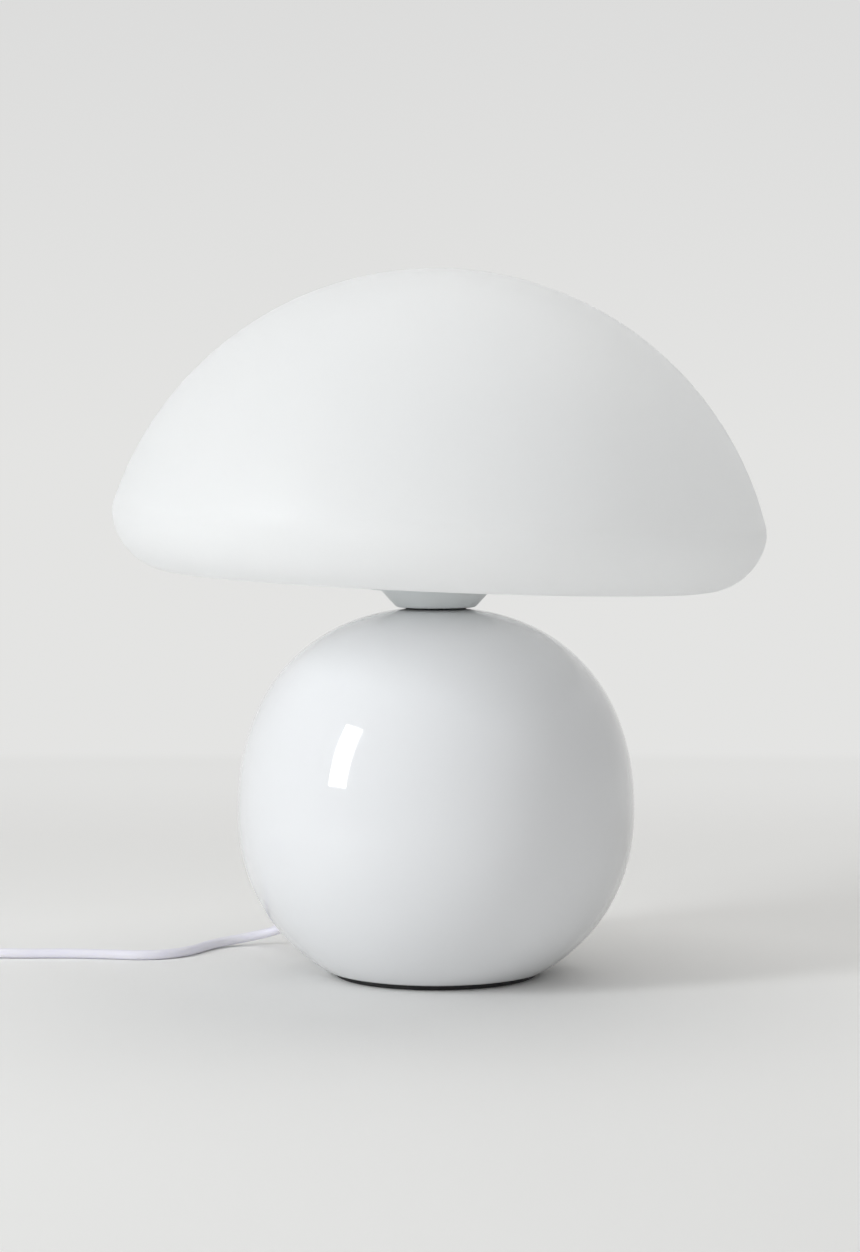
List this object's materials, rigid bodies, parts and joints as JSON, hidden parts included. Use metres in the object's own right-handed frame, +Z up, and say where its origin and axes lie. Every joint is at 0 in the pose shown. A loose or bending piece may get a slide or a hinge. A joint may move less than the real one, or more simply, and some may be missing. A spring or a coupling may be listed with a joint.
{
  "type": "table lamp",
  "caption": "Mushroom table lamp: blown opal glass shade resting on a flared neck cup over a glossy hollow ball, with bulb, cord, inline rocker switch and plug.",
  "frame": {"origin": "centre of the foot's underside, on the table", "axes": "+Z up along the ball's axis, -Y towards the front, +X to the front view's right; the cord leaves at the back left"},
  "size_m": [0.57, 0.3228, 0.35],
  "materials": {
    "opal_glass": "satin opal, blown",
    "white_lacquer": "gloss",
    "grey_satin": "satin",
    "zinc_steel": "zinc plated",
    "brass": "turned",
    "iron": "primed",
    "black_rubber": "matte",
    "clear_gasket": "soft matte",
    "white_plastic": "satin gloss",
    "cord_vinyl": "soft vinyl",
    "core_vinyl_blue": "vinyl",
    "holder_thermoset": "moulded",
    "ceramic": "unglazed",
    "cap_metal": "nickel plated",
    "black_glass": "gloss",
    "bulb_plastic": "satin gloss",
    "bulb_opal": "frosted",
    "board_white": "white solder mask",
    "pin_metal": "nickel plated"
  },
  "bodies": {
    "base": {"foot_pad": "black_rubber", "bottom_plate": "zinc_steel", "plate_screws": "zinc_steel", "weight_screw": "zinc_steel", "counterweight": "iron", "base_shell": "white_lacquer", "cord_bush": "white_plastic", "cord_grip": "white_plastic", "grip_screw": "zinc_steel", "inner_cord": "cord_vinyl", "lead_wires": "core_vinyl_blue", "top_washer": "zinc_steel", "inner_nut": "brass", "nipple": "brass", "neck_washer": "black_rubber", "neck_cup": "grey_satin", "lock_washer": "zinc_steel", "cup_nut": "brass", "shade_gasket": "clear_gasket", "holder_cap": "holder_thermoset", "holder_sleeve": "holder_thermoset", "holder_core": "ceramic", "screw_shell": "brass", "centre_contact": "brass", "terminals": "brass", "terminal_screws": "zinc_steel", "lamp_cord": "cord_vinyl", "mains_cord": "cord_vinyl", "cord_coil": "cord_vinyl", "plug_cord": "cord_vinyl", "switch_base": "white_plastic", "switch_cover": "white_plastic", "switch_screws": "zinc_steel", "switch_contacts": "brass", "plug_body": "white_plastic", "plug_pins": "pin_metal", "pin_sleeves": "white_plastic", "plug_relief": "white_plastic"},
    "shade": {"glass_shade": "opal_glass"},
    "bulb_contact": {"bulb_tip": "cap_metal"},
    "bulb": {"bulb_insulator": "black_glass", "bulb_cap": "cap_metal", "bulb_body": "bulb_plastic", "led_board": "board_white", "bulb_globe": "bulb_opal"},
    "rocker": {"switch_rocker": "white_plastic", "switch_bridge": "brass"}
  },
  "joints": [
    {"name": "shade_lift", "type": "slide", "parent": "base", "child": "shade", "axis": [0, 0, 1], "range_m": [0, 0.13]},
    {"name": "bulb_lift", "type": "slide", "parent": "base", "child": "bulb_contact", "axis": [0, 0, 1], "range_m": [0, 0.01975]},
    {"name": "bulb_turn", "type": "hinge", "parent": "bulb_contact", "child": "bulb", "pos_m": [0, 0, 0.23], "axis": [0, 0, 1], "range_deg": [0, 2519.9]},
    {"name": "switch_rock", "type": "hinge", "parent": "base", "child": "rocker", "pos_m": [-0.296, 0.044, 0.01], "axis": [0, 1, 0], "range_deg": [0, 18]}
  ],
  "couplings": [
    {"joint": "bulb_lift", "follows": "bulb_turn", "m_per_rad": 0.00044913}
  ]
}
